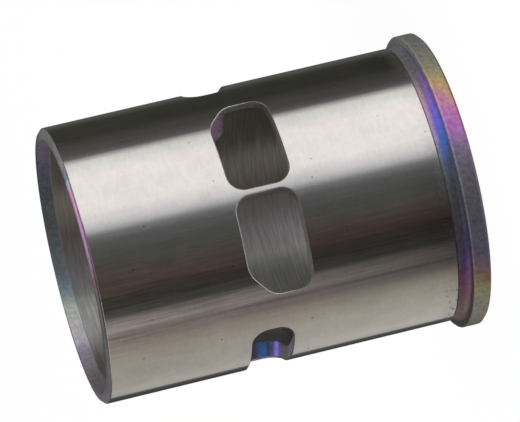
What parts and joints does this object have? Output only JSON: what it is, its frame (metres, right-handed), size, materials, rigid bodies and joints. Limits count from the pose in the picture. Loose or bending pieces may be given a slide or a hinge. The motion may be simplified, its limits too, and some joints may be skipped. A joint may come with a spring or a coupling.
{
  "type": "cylinder liner",
  "caption": "Flanged cylinder liner of a two-stroke engine: a thin ground steel tube with a bridged exhaust port, transfer ports and a boost port.",
  "frame": {"origin": "centre of the flange's end face, on the bore axis", "axes": "+Z along the bore axis from the flange to the skirt, -Y through the middle of the exhaust port"},
  "size_m": [0.0358, 0.0358, 0.0464],
  "materials": {
    "ground_steel": "ground and polished, with faint heat tints"
  },
  "bodies": {
    "root": {"cylinder_liner": "ground_steel"}
  },
  "joints": []
}
